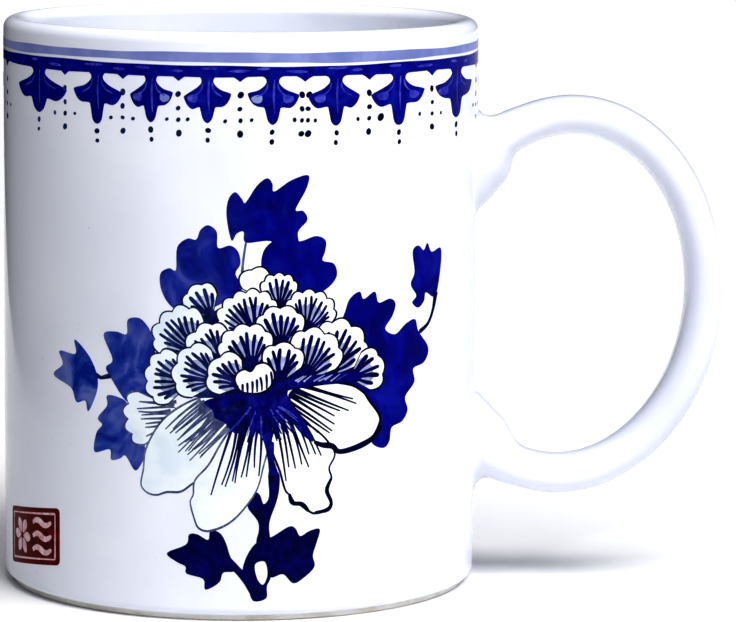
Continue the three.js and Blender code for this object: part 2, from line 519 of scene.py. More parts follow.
# -------- painting on the wall
# The decoration is laid out flat: s runs round the wall from the front line towards the handle, and
# z is height, both in millimetres.
class Painting:
    """Flat shapes with their paints, the first stroke first. The paint "bare" leaves the glaze open."""

    def __init__(self):
        self.shapes = []

    def add(self, paint, outline):
        self.shapes.append((paint, [(float(s), float(z)) for s, z in outline]))


def on_wall(s, z, radius):
    """A flat layout point on the wall's own facets, so that paint lies parallel to the glaze."""
    steps = s / STRIP
    k = math.floor(steps)
    a, b = k * STRIP_ANGLE, (k + 1) * STRIP_ANGLE
    low = Vector((radius * math.sin(a), -radius * math.cos(a), z))
    high = Vector((radius * math.sin(b), -radius * math.cos(b), z))
    return place(low.lerp(high, steps - k))


PAINT_LIFT = 0.035
PAINT_DEPTH = 0.15


def inside(outline, s, z):
    """Which of the points (s, z) lie within an outline, counting its turns round each point."""
    turns = np.zeros(len(s), dtype=int)
    for (s0, z0), (s1, z1) in zip(outline, outline[1:] + outline[:1]):
        side = (s1 - s0) * (z - z0) - (s - s0) * (z1 - z0)
        turns += (z0 <= z) & (z1 > z) & (side > 0)
        turns -= (z0 > z) & (z1 <= z) & (side < 0)
    return turns != 0


def make_films(prefix, painting):
    """Cuts the painted shapes into one flat map, the last stroke on top, and makes each colour one film."""
    points, edges = [], []
    for _, outline in painting.shapes:
        first, count = len(points), len(outline)
        edges += [(first + i, first + (i + 1) % count) for i in range(count)]
        points += [Vector(p) for p in outline]
    lo_s, hi_s = min(p.x for p in points), max(p.x for p in points)
    lo_z, hi_z = min(p.y for p in points) - 1, max(p.y for p in points) + 1
    for k in range(math.floor(lo_s / STRIP), math.ceil(hi_s / STRIP) + 1):
        edges.append((len(points), len(points) + 1))
        points += [Vector((k * STRIP, lo_z)), Vector((k * STRIP, hi_z))]
    flat, _, faces, _, _, _ = geometry.delaunay_2d_cdt(points, edges, [], 0, 1e-5, False)
    at = np.array([p[:] for p in flat])
    middles = at[np.array(faces)].mean(axis=1)
    owner = np.full(len(faces), -1)
    for number, (_, outline) in enumerate(painting.shapes):
        low, high = np.min(outline, axis=0), np.max(outline, axis=0)
        near = np.flatnonzero(((middles >= low) & (middles <= high)).all(axis=1))
        owner[near[inside(outline, middles[near, 0], middles[near, 1])]] = number
    regions = {}
    for face, number in zip(faces, owner):
        if number >= 0:
            regions.setdefault(painting.shapes[number][0], []).append(face)
    for paint, region in regions.items():
        if paint != "bare":
            film(f"{prefix}_{paint}", flat, region, PAINTS[paint])


def film(name, flat, region, material):
    """A thin closed skin over the given flat faces, with the wall's own smooth normals on top."""
    used = sorted({v for face in region for v in face})
    index = {v: i for i, v in enumerate(used)}
    count = len(used)
    verts = [on_wall(flat[v].x, flat[v].y, WALL_R + PAINT_LIFT) for v in used]
    verts += [on_wall(flat[v].x, flat[v].y, WALL_R - PAINT_DEPTH) for v in used]
    faces, edges = [], {}
    for face in region:
        a = [index[v] for v in face]
        (x0, y0), (x1, y1), (x2, y2) = [flat[v][:] for v in face[:3]]
        if (x1 - x0) * (y2 - y0) - (x2 - x0) * (y1 - y0) < 0:
            a.reverse()
        faces.append(a)
        for i, j in zip(a, a[1:] + a[:1]):
            edges[(i, j)] = True
    tops = len(faces)
    faces += [[i + count for i in reversed(face)] for face in faces[:tops]]
    faces += [[j, i, i + count, j + count] for i, j in edges if (j, i) not in edges]
    piece = new_piece(name, verts, faces, material)
    mesh = piece.data
    normals = []
    for number, polygon in enumerate(mesh.polygons):
        for vertex in polygon.vertices:
            if number < tops:
                out = mesh.vertices[vertex].co - AXIS
                normals.append(Vector((out.x, out.y, 0)).normalized())
            else:
                normals.append(polygon.normal)
    mesh.normals_split_custom_set(normals)


def smooth(points, steps=6, closed=True):
    """A Catmull-Rom curve through given points."""
    count = len(points)
    out = []
    for i in range(count if closed else count - 1):
        if closed:
            p = [points[(i + k) % count] for k in (-1, 0, 1, 2)]
        else:
            p = [points[min(max(i + k, 0), count - 1)] for k in (-1, 0, 1, 2)]
        for k in range(steps):
            t = k / steps
            weights = (
                -t + 2 * t**2 - t**3,
                2 - 5 * t**2 + 3 * t**3,
                t + 4 * t**2 - 3 * t**3,
                -(t**2) + t**3,
            )
            out.append(tuple(sum(w * q[axis] for w, q in zip(weights, p)) / 2 for axis in (0, 1)))
    if not closed:
        out.append(tuple(points[-1]))
    return out


def ribbon(points, widths, rounded=True):
    """A brush stroke along a line of points, with a width at each of evenly spaced places."""
    count = len(points)
    left, right = [], []
    for i, (x, y) in enumerate(points):
        x0, y0 = points[max(i - 1, 0)]
        x1, y1 = points[min(i + 1, count - 1)]
        length = math.hypot(x1 - x0, y1 - y0) or 1
        nx, ny = -(y1 - y0) / length, (x1 - x0) / length
        place_in = i / (count - 1) * (len(widths) - 1)
        k = min(int(place_in), len(widths) - 2)
        half = (widths[k] + (widths[k + 1] - widths[k]) * (place_in - k)) / 2
        left.append((x + nx * half, y + ny * half))
        right.append((x - nx * half, y - ny * half))
    outline = left
    if rounded:
        (x0, y0), (x1, y1) = points[-2], points[-1]
        length = math.hypot(x1 - x0, y1 - y0) or 1
        past_x = (x1 - x0) / length * widths[-1] * 0.4
        past_y = (y1 - y0) / length * widths[-1] * 0.4
        outline = left + [(x1 + past_x, y1 + past_y)]
    return outline + right[::-1]


def brush(painting, paint, line, widths, steps=4, rounded=True):
    """Paints a stroke along a curve through a few points."""
    painting.add(paint, ribbon(smooth(line, steps, False), widths, rounded))


def lobe(base, tip, width):
    """A long drop from base to tip, widest a little past its middle."""
    steps = 14
    bx, by = base
    dx, dy = tip[0] - bx, tip[1] - by
    length = math.hypot(dx, dy)
    ux, uy = dx / length, dy / length
    left, right = [], []
    for i in range(steps + 1):
        t = i / steps
        half = width / 2 * math.sin(math.pi * t**1.25) ** 0.6 if 0 < i < steps else 0
        cx, cy = bx + dx * t, by + dy * t
        left.append((cx - uy * half, cy + ux * half))
        right.append((cx + uy * half, cy - ux * half))
    return left + right[-2:0:-1]


def dot(s, z, width):
    """A small hand-pressed dot, not quite round."""
    skew = between(-0.12, 0.12) * 20
    steps = 12
    outline = []
    for i in range(steps):
        a = 2 * math.pi * i / steps
        swell = 1 + 0.1 * math.sin(2 * a + skew)
        outline.append((s + width / 2 * swell * math.cos(a), z + width / 2 * swell * math.sin(a)))
    return outline


# -------- the border under the rim
ROUND = 2 * math.pi * WALL_R
# Places of the pendants round the front, and how many more there are round the back
FRONT_PENDANTS = (-68.0, -38.4, -24.0, -13.8, -4.2, 6.5, 17.3, 29.7, 46.0, 70.0)
BACK_PENDANTS = 9
# The pendant that two rows of dots follow
DOUBLE_AFTER = 6.5
LINE_TOP = HEIGHT - 3.35
LINE_BOTTOM = HEIGHT - 4.85
BAND_TOP = HEIGHT - 5.4
BAND_BOTTOM = HEIGHT - 7.2


def pendant_places():
    """Pendants as the painter spaced them round the front, and evenly round the back."""
    first, last = FRONT_PENDANTS[0], FRONT_PENDANTS[-1]
    step = (ROUND - (last - first)) / (BACK_PENDANTS + 1)
    places = list(FRONT_PENDANTS) + [last + step * (i + 1) for i in range(BACK_PENDANTS)]
    return sorted(p - ROUND if p > ROUND / 2 else p for p in places)


def waver(s, size, seed):
    """A slow unevenness round the rim that meets itself, from whole-number waves."""
    a = s / WALL_R
    waves = ((3, 0.5, seed), (8, 0.3, 2 * seed), (17, 0.2, 5 * seed))
    return size * sum(weight * math.sin(times * a + shift) for times, weight, shift in waves)


def band(painting, paint, start, top, bottom, seed, rough):
    """A brushed band right round the mug, in short pieces that share their ends."""
    pieces = 128
    for i in range(pieces):
        s = [start + ROUND * (i + k / 2) / pieces for k in range(3)]
        upper = [(p, top + waver(p, rough, seed)) for p in reversed(s)]
        lower = [(p, bottom + waver(p, rough, seed + 2)) for p in s]
        painting.add(paint, lower + upper)


def pendant(painting, s, size):
    """A tassel with a wing on each side, like an upturned calyx, hung from the band by a short neck."""
    drop = between(-0.4, 0.9)
    neck = [(2.3, 0.4), (1.35, -0.1), (1.05, -0.8), (1.5, -1.5), (2.5, -2.2)]
    edges = {}
    for side in (-1, 1):
        reach = between(3.8, 4.5)
        lift = between(-0.3, 0.6)
        curl = [
            (reach, lift - 2.9),
            (reach + 0.1, lift - 3.4),
            (reach - 0.5, lift - 4.5),
            (reach - 1.4, lift - 5.1),
            (1.5, -5.0),
            (1.2, -5.7),
            (0.8, drop - 7.6),
        ]
        edges[side] = [(side * x, z) for x, z in neck + curl]
    outline = edges[1] + [(0, drop - 8.25)] + edges[-1][::-1]
    painting.add("cobalt", smooth([(s + x * size, BAND_BOTTOM + z) for x, z in outline], 4))
    for side in (-1, 1):
        shine = between(0, 1)
        thin_spot = [(1.9, -3.0), (2.8, -3.0), (3.6, -3.4), (3.3, -4.1), (2.4, -4.3), (1.8, -3.9)]
        if shine < 0.6:
            tone = "line" if shine < 0.12 else "wash"
            painting.add(tone, smooth([(s + side * x * size, BAND_BOTTOM + z) for x, z in thin_spot], 4))
        ridge = [(1.0, -0.7), (1.2, -1.6), (2.0, -2.4), (3.2, -2.9)]
        gleam = [(s + side * x * size * 0.85, BAND_BOTTOM + z - 0.35) for x, z in ridge]
        brush(painting, "wash", gleam, [0.12, 0.34, 0.2, 0.3, 0.1], 3)
    streak = [(s + 0.3, BAND_BOTTOM - 0.4), (s + 0.15, BAND_BOTTOM - 2.8), (s + 0.3, BAND_BOTTOM - 6.0)]
    brush(painting, "wash", streak, [0.2, 0.4, 0.15], 3)
    for below, width in ((9.45 - drop, 0.9), (11.05 - drop, 0.75)):
        at = s + between(-0.15, 0.15)
        painting.add("ink", dot(at, BAND_BOTTOM - below, width * between(0.85, 1.15)))


def bow(painting, s, size, double):
    """Between two pendants: a dip of the band above one or two rows of dots, with a dot on each side."""
    dip = [(-2.1, 0.4), (-0.8, -0.2), (0, -0.8), (0.8, -0.2), (2.1, 0.4)]
    painting.add("cobalt", [(s + x, BAND_BOTTOM + z) for x, z in dip])
    rows = (-1, 1) if double else (0,)
    for below, width in ((2.95, 1.1), (5.25, 0.95), (7.15, 0.85), (9.35, 1.15)):
        for side in rows:
            at = s + side * 0.6 + between(-0.12, 0.12)
            painting.add("ink", dot(at, BAND_BOTTOM - below, width * between(0.8, 1.0)))
    for side in (-1, 1):
        width = random.choice((0.55, 0.6, 0.65, 0.7, 1.3))
        at = s + side * size * between(1.7, 2.5)
        painting.add("ink", dot(at, BAND_BOTTOM - 7.15 + between(-0.15, 0.15), width))


def border():
    """Washed line, dark band with worn streaks, and pendants with bows and dots between them."""
    painting = Painting()
    places = pendant_places()
    band(painting, "line", places[0] - 3, LINE_TOP, LINE_BOTTOM, 1.3, 0.22)
    band(painting, "cobalt", places[0] - 3, BAND_TOP, BAND_BOTTOM, 4.1, 0.2)
    befores = [places[-1] - ROUND] + places[:-1]
    afters = places[1:] + [places[0] + ROUND]
    for before, here, after in zip(befores, places, afters):
        for start, below in ((between(-3, -1), 0.5), (between(2, 4), 0.9)):
            worn = here + start
            finish = (worn + between(2, 4.5), BAND_TOP - below - between(-0.2, 0.2))
            painting.add("wash", lobe((worn, BAND_TOP - below), finish, 0.5))
        pendant(painting, here, min(1.75, (after - before) / 22))
        bow(painting, (here + after) / 2, min(1.4, (after - here) / 11), here == DOUBLE_AFTER)
    return painting


# -------- the flower spray
def polar(centre, degrees, radius):
    a = math.radians(degrees)
    return centre[0] + radius * math.cos(a), centre[1] + radius * math.sin(a)


def fan(base, heading, length, spread, scallops, grow=0.0, flat=0.3):
    """The outline of a shell-shaped petal: a fan from its base with a scalloped far edge."""
    steps = 8 * scallops
    outline = [polar(base, heading + 180, grow)]
    for i in range(steps + 1):
        u = 2 * i / steps - 1
        ripple = abs(math.sin(math.pi * scallops * i / steps))
        radius = length * (1 - flat * abs(u) ** 3) * (0.92 + 0.08 * ripple) + grow
        outline.append(polar(base, heading + u * (spread + math.degrees(grow / length)), radius))
    return outline


def hair(painting, paint, start, end, width, bend=0.0):
    """One tapering brush hair with a little bend."""
    (x0, y0), (x1, y1) = start, end
    points = []
    for k in range(6):
        t = k / 5
        side = bend * math.sin(math.pi * t)
        points.append((x0 + (x1 - x0) * t - (y1 - y0) * side, y0 + (y1 - y0) * t + (x1 - x0) * side))
    painting.add(paint, ribbon(points, [width * 1.5, width, width * 0.8, width * 0.55]))


def stroke(painting, paint, start, end, width):
    """A blunt stroke of a loaded brush, fullest just before its far end."""
    bend = between(-0.06, 0.06)
    (x0, y0), (x1, y1) = start, end
    middle = ((x0 + x1) / 2 - (y1 - y0) * bend, (y0 + y1) / 2 + (x1 - x0) * bend)
    widths = [width * 0.6, width * 0.7, width * 0.85, width, width * 0.75]
    brush(painting, paint, [start, middle, end], widths, 3)


def shell(painting, base, heading, length, spread, scallops, hairs):
    """One small petal: dark rim line, pale body, a misty hollow, a dark foot and blunt strokes from it."""
    reach, foot = 0.8, 0.32
    painting.add("ink", fan(base, heading, length, spread, scallops, 0.27))
    painting.add("petal", fan(base, heading, length, spread, scallops))
    if not hairs:
        return
    painting.add("mist", fan(base, heading, length * reach * 0.85, spread + 1, hairs))
    painting.add("shade", fan(base, heading, length * foot, spread + 2, hairs))
    gap = 2 * math.radians(spread) * 0.88 * length * reach / hairs
    width = min(0.8, max(0.36, 0.54 * gap))
    for i in range(hairs):
        u = (i + 0.5) / hairs * 2 - 1
        angle = heading + u * spread * 0.88 + between(-1.5, 1.5)
        far = length * (1 - 0.3 * abs(u) ** 3) * reach * between(0.93, 1.06)
        near = polar(base, angle + between(-1, 1), length * foot * 0.8)
        stroke(painting, "shade", near, polar(base, angle, far), width * between(0.85, 1.15))


def long_petal(painting, outline, paint, width):
    """The pale body of a long hanging petal inside a thin brushed outline."""
    edge = smooth(outline, 6)
    painting.add("petal", edge)
    widths = [width, width * 0.6, width * 1.1, width * 0.7, width]
    painting.add(paint, ribbon(edge + edge[:1], widths, False))


def fall_of_hairs(painting, paint, first, last, count, width):
    """Hairs down a long petal, between a first and a last one that are given as (start, end)."""
    for i in range(count):
        t = i / (count - 1)
        start = [a + (b - a) * t + between(-0.25, 0.25) for a, b in zip(first[0], last[0])]
        end = [a + (b - a) * t + between(-0.5, 0.5) for a, b in zip(first[1], last[1])]
        cut = between(0.0, 0.22)
        end = [b + (a - b) * cut for a, b in zip(start, end)]
        hair(painting, paint, start, end, width, between(-0.03, 0.05))


# Each outline is a list of the points that its brushed edge passes through.
TOP_LEAF = [
    (2.2, 63.6), (1.8, 65.4), (0.7, 65.1), (-0.2, 64.0), (-1.0, 68.0), (-0.7, 70.7), (0.4, 71.9),
    (1.5, 70.8), (2.1, 70.2), (3.9, 72.9), (5.6, 74.2), (6.5, 73.3), (6.8, 72.0), (9.6, 73.8),
    (12.5, 74.6), (12.2, 72.4), (10.4, 69.0), (11.7, 68.7), (12.4, 67.2), (10.8, 65.2), (11.0, 62.0),
    (7.5, 61.5), (6.3, 63.8),
]
RIGHT_LEAF = [
    (8.0, 64.4), (11.0, 63.7), (13.9, 64.5), (15.6, 63.7), (15.5, 61.9), (15.1, 60.4), (17.1, 59.8),
    (17.6, 57.7), (15.7, 55.6), (12.2, 54.5), (6.7, 56.7), (4.8, 59.4), (5.3, 62.6),
]
UPPER_LEFT_LEAF = [
    (-10.1, 52.7), (-11.9, 55.4), (-12.1, 58.1), (-10.6, 59.1), (-9.4, 58.9), (-9.2, 62.6), (-7.5, 64.1),
    (-6.0, 64.0), (-5.3, 65.6), (-4.0, 66.4), (-2.6, 65.3), (-2.4, 62.7), (-0.4, 63.1), (0.9, 62.1),
    (1.3, 60.1), (0.5, 58.4), (1.5, 55.7), (-2.7, 53.0), (-6.8, 51.5),
]
FAR_LEFT_LEAF = [
    (-24.1, 40.5), (-24.1, 37.6), (-25.9, 34.1), (-26.6, 35.8), (-28.6, 35.4), (-29.9, 37.7), (-34.3, 39.4),
    (-31.9, 41.4), (-32.7, 43.6), (-28.8, 43.5), (-29.0, 45.9), (-25.9, 43.6),
]
LEFT_LEAF = [
    (-18.0, 50.1), (-16.2, 50.6), (-14.9, 49.9), (-13.6, 48.0), (-13.0, 44.9), (-12.5, 41.9), (-13.0, 38.0),
    (-16.8, 37.3), (-18.3, 36.5), (-21.4, 40.4), (-22.2, 41.9), (-20.9, 43.3), (-22.7, 47.3), (-20.3, 48.0),
    (-18.2, 47.7),
]
LOWER_LEFT_LEAF = [
    (-22.0, 37.1), (-19.7, 37.0), (-18.0, 35.9), (-16.9, 31.7), (-15.0, 29.5), (-14.8, 27.7), (-15.6, 25.9),
    (-16.7, 25.0), (-18.4, 27.3), (-19.5, 26.7), (-21.2, 26.4), (-21.5, 28.1), (-24.6, 27.4), (-24.2, 30.6),
    (-23.0, 32.1), (-23.9, 33.2), (-22.0, 35.4),
]
RIGHT_CLUSTER = [
    (18.9, 51.0), (20.0, 53.7), (21.9, 54.9), (22.7, 53.6), (24.9, 54.7), (25.7, 52.8), (28.1, 53.3),
    (29.3, 52.3), (28.6, 50.3), (27.1, 48.3), (29.3, 47.2), (31.6, 48.7), (33.9, 49.3), (34.8, 47.2),
    (37.5, 44.1), (36.4, 41.8), (33.6, 41.0), (33.9, 38.7), (31.7, 36.4), (32.3, 34.1), (31.0, 32.3),
    (28.7, 31.5), (28.2, 29.2), (26.9, 28.2), (24.6, 29.2), (23.5, 32.2), (19.5, 38.0), (16.0, 45.0),
]
BUD = [
    (33.7, 57.3), (33.2, 60.8), (34.6, 61.7), (36.0, 60.8), (37.0, 61.9), (38.2, 60.3), (40.9, 60.7),
    (40.9, 57.3), (39.4, 52.7), (36.7, 53.6), (36.2, 52.2), (34.7, 51.2), (33.2, 52.2), (34.2, 53.3),
    (32.8, 55.3),
]
LOW_LEFT_LEAF = [
    (-10.9, 11.4), (-7.6, 13.0), (-7.1, 14.7), (-5.7, 14.8), (-3.9, 13.9), (-3.5, 15.5), (-1.9, 15.1),
    (-0.9, 13.4), (-0.1, 11.0), (1.4, 9.0), (0.2, 8.6), (-1.4, 8.4), (-2.0, 6.8), (-4.3, 5.5),
    (-4.7, 7.3), (-7.5, 8.1), (-7.7, 9.3), (-9.2, 10.0),
]
LOW_RIGHT_LEAF = [
    (3.8, 9.5), (4.4, 13.2), (7.0, 14.6), (9.6, 16.1), (10.7, 15.7), (11.5, 14.4), (13.1, 15.2),
    (14.9, 15.4), (14.3, 13.0), (13.7, 11.0), (14.0, 9.1), (12.1, 7.3), (10.3, 6.5), (8.6, 8.1),
    (6.4, 7.6),
]
FORK = [
    (4.6, 11.0), (4.1, 13.6), (4.5, 15.5), (4.3, 17.2), (2.6, 19.7), (3.8, 21.9), (4.7, 21.5), (5.3, 20.0),
    (6.2, 21.3), (6.1, 25.4), (7.8, 25.2), (7.9, 22.6), (7.4, 20.2), (6.3, 17.0), (6.4, 14.4), (7.0, 12.0),
]
ROOT = [
    (5.8, 4.1), (3.6, 3.7), (2.7, 6.2), (1.8, 8.4), (2.6, 11.4), (4.4, 13.6), (6.6, 12.6), (6.6, 8.0),
    (5.9, 6.1),
]
SHEATH = [(2.4, 63.2), (6.4, 63.8), (4.7, 60.2), (4.9, 57.4), (3.6, 56.2), (1.6, 56.0)]
BACK_LEAVES = (
    TOP_LEAF, RIGHT_LEAF, UPPER_LEFT_LEAF, LEFT_LEAF, FAR_LEFT_LEAF, LOWER_LEFT_LEAF, RIGHT_CLUSTER,
)
RIGHT_PETAL = [
    (9.5, 38.0), (11.6, 33.8), (14.1, 29.8), (17.0, 29.3), (18.3, 28.3), (21.2, 28.8), (24.4, 30.0),
    (26.0, 32.2), (26.0, 33.9), (23.9, 36.5), (22.7, 38.0), (19.9, 39.5), (13.7, 40.2),
]
RIGHT_LOW_PETAL = [
    (6.4, 30.5), (8.0, 25.4), (8.9, 22.3), (9.8, 21.3), (10.3, 20.0), (11.7, 19.9), (13.6, 18.2),
    (16.2, 18.6), (16.9, 19.8), (16.0, 21.9), (16.9, 23.9), (16.5, 25.7), (17.4, 28.4), (13.7, 32.5),
    (8.8, 34.5),
]
LEFT_PETAL = [
    (-10.8, 34.6), (-14.4, 29.3), (-15.1, 25.2), (-15.5, 22.7), (-14.4, 21.4), (-12.7, 21.1), (-10.9, 21.7),
    (-8.5, 21.9), (-6.4, 23.4), (-4.0, 24.9), (-1.3, 28.8), (1.0, 35.0), (-4.0, 38.0),
]
LOW_PETAL = [
    (-1.4, 30.8), (-3.8, 26.6), (-6.1, 23.9), (-6.4, 21.5), (-6.9, 20.1), (-6.2, 17.4), (-5.5, 15.9),
    (-4.0, 15.4), (-1.9, 16.0), (0.1, 17.2), (2.1, 19.3), (4.1, 22.3), (5.1, 25.8), (6.0, 31.5),
    (2.0, 35.0),
]
POOL = [
    (-4.5, 37.2), (0.1, 38.4), (6.3, 39.2), (7.8, 40.4), (12.0, 41.2), (17.5, 41.6), (22.5, 41.4),
    (22.3, 40.3), (17.5, 40.0), (10.4, 39.3), (9.2, 38.3), (10.2, 36.1), (12.6, 32.9), (13.6, 30.2),
    (11.4, 31.8), (8.9, 35.0), (7.4, 35.0), (6.6, 32.5), (6.0, 28.4), (5.0, 31.0), (3.2, 33.0),
    (2.0, 32.2), (0.4, 31.9), (-1.2, 33.6), (-2.8, 34.4), (-3.2, 35.6),
]
FRONT_PETAL = [
    (0.5, 40.6), (0.8, 41.9), (2.0, 42.6), (3.1, 42.3), (4.0, 43.4), (5.5, 43.6), (6.7, 42.5), (7.0, 41.1),
    (6.5, 39.9), (5.5, 38.9), (3.7, 38.5), (1.5, 38.9),
]
BLOOM_GROUND = [
    (-3.4, 52.0), (2.0, 54.4), (6.7, 54.6), (12.1, 52.9), (16.4, 49.6), (19.7, 43.6), (22.4, 40.2),
    (13.7, 39.5), (0.0, 38.0), (-7.4, 38.2), (-11.3, 42.9), (-6.8, 49.8),
]

# Heavy edges under the two petals on the right: width and line
HEAVY_EDGES = (
    (1.05, [
        (13.8, 30.2), (15.2, 29.6), (17.0, 29.3), (18.3, 28.3), (21.2, 28.7), (24.4, 29.9), (26.4, 31.8),
    ]),
    (0.85, [(9.6, 21.6), (10.2, 20.1), (11.7, 19.8), (12.9, 18.6)]),
    (0.75, [(14.0, 18.3), (16.2, 18.6), (16.9, 19.8), (16.1, 21.9), (16.9, 23.9)]),
)

# Hairs down the hanging petals: paint, the start and end of the first and of the last, count, width
HAIRS = (
    ("soft", ((-5.0, 37.6), (-11.6, 31.8)), ((0.6, 33.6), (-5.4, 27.4)), 16, 0.4),
    ("soft", ((-3.0, 36.0), (-9.4, 28.4)), ((-1.4, 33.4), (-7.0, 26.8)), 5, 0.36),
    ("shade", ((0.6, 34.1), (-3.4, 21.0)), ((4.9, 33.6), (4.2, 24.8)), 9, 0.42),
    ("ink", ((7.0, 35.6), (9.3, 23.4)), ((10.2, 36.1), (15.8, 27.2)), 8, 0.44),
    ("ink", ((8.2, 37.0), (15.4, 30.6)), ((11.4, 40.0), (22.2, 36.4)), 9, 0.44),
)

# Petals of the bloom from the back to the front: base, heading, length, half spread, scallops, hairs.
PETALS = (
    ((-3.4, 51.2), 122, 6.0, 44, 3, 5),
    ((4.6, 54.6), 108, 5.0, 46, 2, 0),
    ((7.7, 52.4), 90, 6.1, 44, 5, 6),
    ((12.2, 48.4), 76, 7.3, 56, 6, 10),
    ((3.9, 48.0), 112, 8.0, 62, 7, 12),
    ((-5.6, 44.8), 132, 9.0, 50, 5, 10),
    ((-1.3, 43.4), 132, 7.6, 50, 4, 9),
    ((-7.0, 40.2), 170, 7.9, 54, 5, 9),
    ((15.6, 40.9), 60, 10.2, 44, 4, 8),
    ((20.2, 40.6), 16, 6.9, 46, 3, 5),
    ((8.1, 46.2), 92, 6.9, 54, 4, 7),
    ((-2.2, 40.6), 158, 8.0, 54, 4, 10),
    ((11.8, 40.6), 64, 9.0, 48, 4, 8),
    ((3.2, 42.6), 104, 7.6, 56, 5, 8),
    ((1.8, 40.0), 148, 6.4, 54, 3, 7),
    ((7.9, 40.4), 82, 6.6, 48, 3, 6),
)


def leaves(painting):
    """Leaves behind the bloom and a bud, each a single wash, with the stems that carry some of them."""
    painting.add("petal", smooth(SHEATH))
    for outline in BACK_LEAVES:
        painting.add("leaf", smooth(outline, 5))
    painting.add("ink", ribbon([(-24.4, 40.4), (-23.2, 40.0), (-21.4, 40.5)], [0.9, 0.6, 0.9]))
    painting.add("leaf", smooth(BUD, 5))
    bud_stem = [(39.5, 53.4), (38.8, 50.6), (37.4, 48.3), (35.2, 47.1)]
    brush(painting, "deep", bud_stem, [1.3, 0.7, 0.6, 0.8])
    brush(painting, "soft", [(2.2, 63.6), (1.7, 60.0), (1.5, 56.0)], [0.35, 0.4, 0.6])


def trunk(painting):
    """The forked woody stem, the gap left where it parts, and two low leaves."""
    for outline in (LOW_LEFT_LEAF, LOW_RIGHT_LEAF, ROOT, FORK):
        painting.add("deep", smooth(outline, 4))
    arm = [(-1.2, 10.8), (0.9, 9.0), (2.6, 7.0), (4.2, 4.6)]
    brush(painting, "deep", arm, [1.8, 1.2, 1.3, 1.8], rounded=False)
    painting.add("bare", smooth([(3.9, 9.8), (5.5, 10.3), (6.0, 8.2), (5.3, 6.4), (4.3, 7.4)], 5))


def hanging_petals(painting):
    """The small hatched petal at the left and the four long ones below the bloom."""
    painting.add("soft", fan((-7.4, 35.0), 188, 11.4, 28, 4, 0.3, 0.12))
    painting.add("petal", fan((-7.4, 35.0), 188, 11.4, 28, 4, 0.0, 0.12))
    fall_of_hairs(painting, "soft", ((-9.4, 37.0), (-17.0, 36.9)), ((-11.2, 32.6), (-15.2, 31.0)), 9, 0.4)
    long_petal(painting, RIGHT_PETAL, "ink", 0.55)
    long_petal(painting, RIGHT_LOW_PETAL, "ink", 0.42)
    long_petal(painting, LEFT_PETAL, "soft", 0.36)
    long_petal(painting, LOW_PETAL, "soft", 0.36)
    for width, edge in HEAVY_EDGES:
        widths = [width * 0.5, width, width * 0.8, width, width * 0.6]
        brush(painting, "ink", edge, widths, 5)
    for group in HAIRS:
        fall_of_hairs(painting, *group)


def heart(painting):
    """The dark pool of colour where all the petals meet, with ragged streaks at its edge."""
    painting.add("pool", smooth(POOL, 4))
    painting.add("pool", ribbon([(7.0, 24.8), (6.5, 27.2), (6.2, 30.2)], [1.6, 1.0, 1.6]))
    middle = (5.0, 38.4)
    streaks = 44
    for i in range(streaks):
        angle = 200 + 128 * (i + between(-0.3, 0.3)) / streaks
        near = polar(middle, angle, between(2.5, 4.5))
        far = polar(middle, angle, between(6.0, 8.6))
        paint = random.choice(("pool", "pool", "shade", "shade", "wash"))
        hair(painting, paint, near, far, 0.2 if paint == "wash" else 0.44, between(-0.04, 0.04))
    for _ in range(9):
        s = between(9.0, 20.0)
        start, end = (s, 40.2 + between(0, 0.4)), (s + between(1, 2.5), 41.3)
        hair(painting, random.choice(("wash", "mist")), start, end, 0.2)


def front_petal(painting):
    """The heart-shaped petal at the front of the bloom, with a row of short strokes along its foot."""
    outline = smooth(FRONT_PETAL, 5)
    painting.add("petal", outline)
    painting.add("ink", ribbon(outline + outline[:1], [0.3, 0.4, 0.3, 0.4, 0.3], False))
    for i in range(8):
        t = i / 7
        foot = (1.0 + 5.5 * t, 38.4 + 1.2 * t * t)
        head = (foot[0] - between(0, 0.3), foot[1] + 1.5 + 1.0 * t)
        stroke(painting, "shade", foot, head, 0.46)


def flower(painting):
    """The bloom, over a dark ground that shows between its petals."""
    hanging_petals(painting)
    painting.add("shade", smooth(BLOOM_GROUND, 5))
    for petal in PETALS:
        shell(painting, *petal)
    heart(painting)
    front_petal(painting)


def spray():
    """The whole flower spray, from the leaves behind to the bloom in front."""
    painting = Painting()
    leaves(painting)
    trunk(painting)
    flower(painting)
    return painting


# -------- the red seal
def seal():
    """A stamped red block with a framed rosette and three wavy bars wiped out of it."""
    painting = Painting()
    left, bottom, width, height, tilt = -50.4, 4.6, 17.6, 9.8, 0.13

    def at(u, v):
        return left + width * u, bottom + height * v + tilt * width * u

    corner, aspect = 0.05, 1.6
    block = []
    for turn in range(4):
        cu = corner if turn in (1, 2) else 1 - corner
        cv = corner * aspect if turn > 1 else 1 - corner * aspect
        for k in range(4):
            a = math.radians(90 * turn + 30 * k)
            block.append(at(cu + corner * math.cos(a), cv + corner * aspect * math.sin(a)))
    painting.add("red", block)
    frame_line = [at(0.07, 0.1), at(0.07, 0.9), at(0.93, 0.9), at(0.93, 0.1), at(0.07, 0.1)]
    for a, b in zip(frame_line, frame_line[1:]):
        painting.add("pink", ribbon([a, b], [0.22, 0.4], False))
    centre = at(0.3, 0.5)
    for k in range(6):
        painting.add("pink", lobe(polar(centre, 60 * k, 0.5), polar(centre, 60 * k, 3.3), 1.7))
    for k in range(3):
        v = 0.26 + 0.24 * k
        wave = [at(0.54 + 0.32 * t / 8, v + 0.05 * math.sin(2 * math.pi * t / 8)) for t in range(9)]
        painting.add("pink", ribbon(wave, [0.7, 1.2, 0.7]))
    return painting


